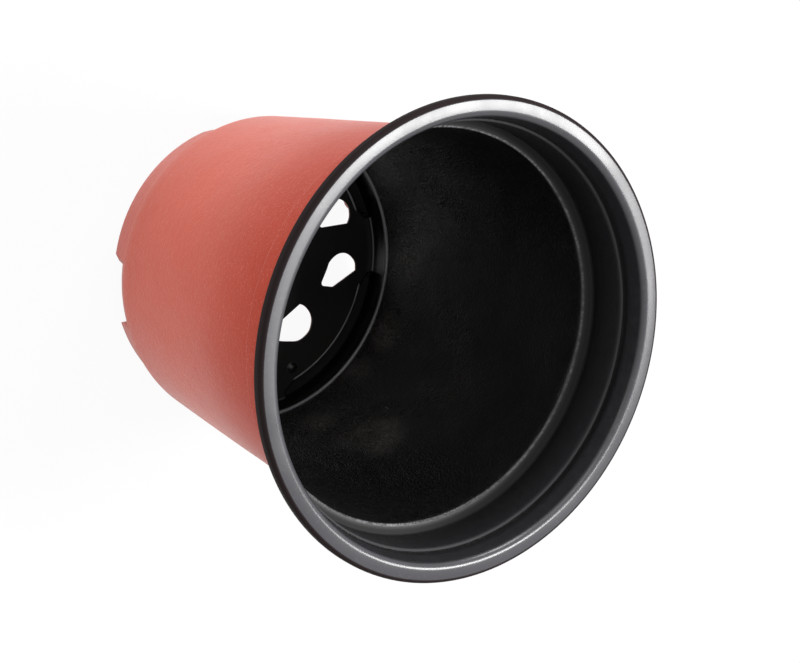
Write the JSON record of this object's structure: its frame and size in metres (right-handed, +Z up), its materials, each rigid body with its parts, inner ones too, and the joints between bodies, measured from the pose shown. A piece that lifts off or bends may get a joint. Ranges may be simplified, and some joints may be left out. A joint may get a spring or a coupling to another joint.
{
  "type": "plastic nursery pot",
  "caption": "Thin tapered nursery pot formed from two-tone sheet, with rolled rim, stacking ledge, arc-shaped feet and teardrop drain holes in a raised floor.",
  "frame": {"origin": "centre of the ground plane that the feet stand on", "axes": "+Z up along the pot's axis through the mouth, +X through the middle of one foot"},
  "size_m": [0.15, 0.15, 0.137],
  "materials": {
    "terracotta_plastic": "fine grained satin",
    "black_plastic": "leather grained satin"
  },
  "bodies": {
    "root": {"outer_layer": "terracotta_plastic", "inner_layer": "black_plastic"}
  },
  "joints": []
}
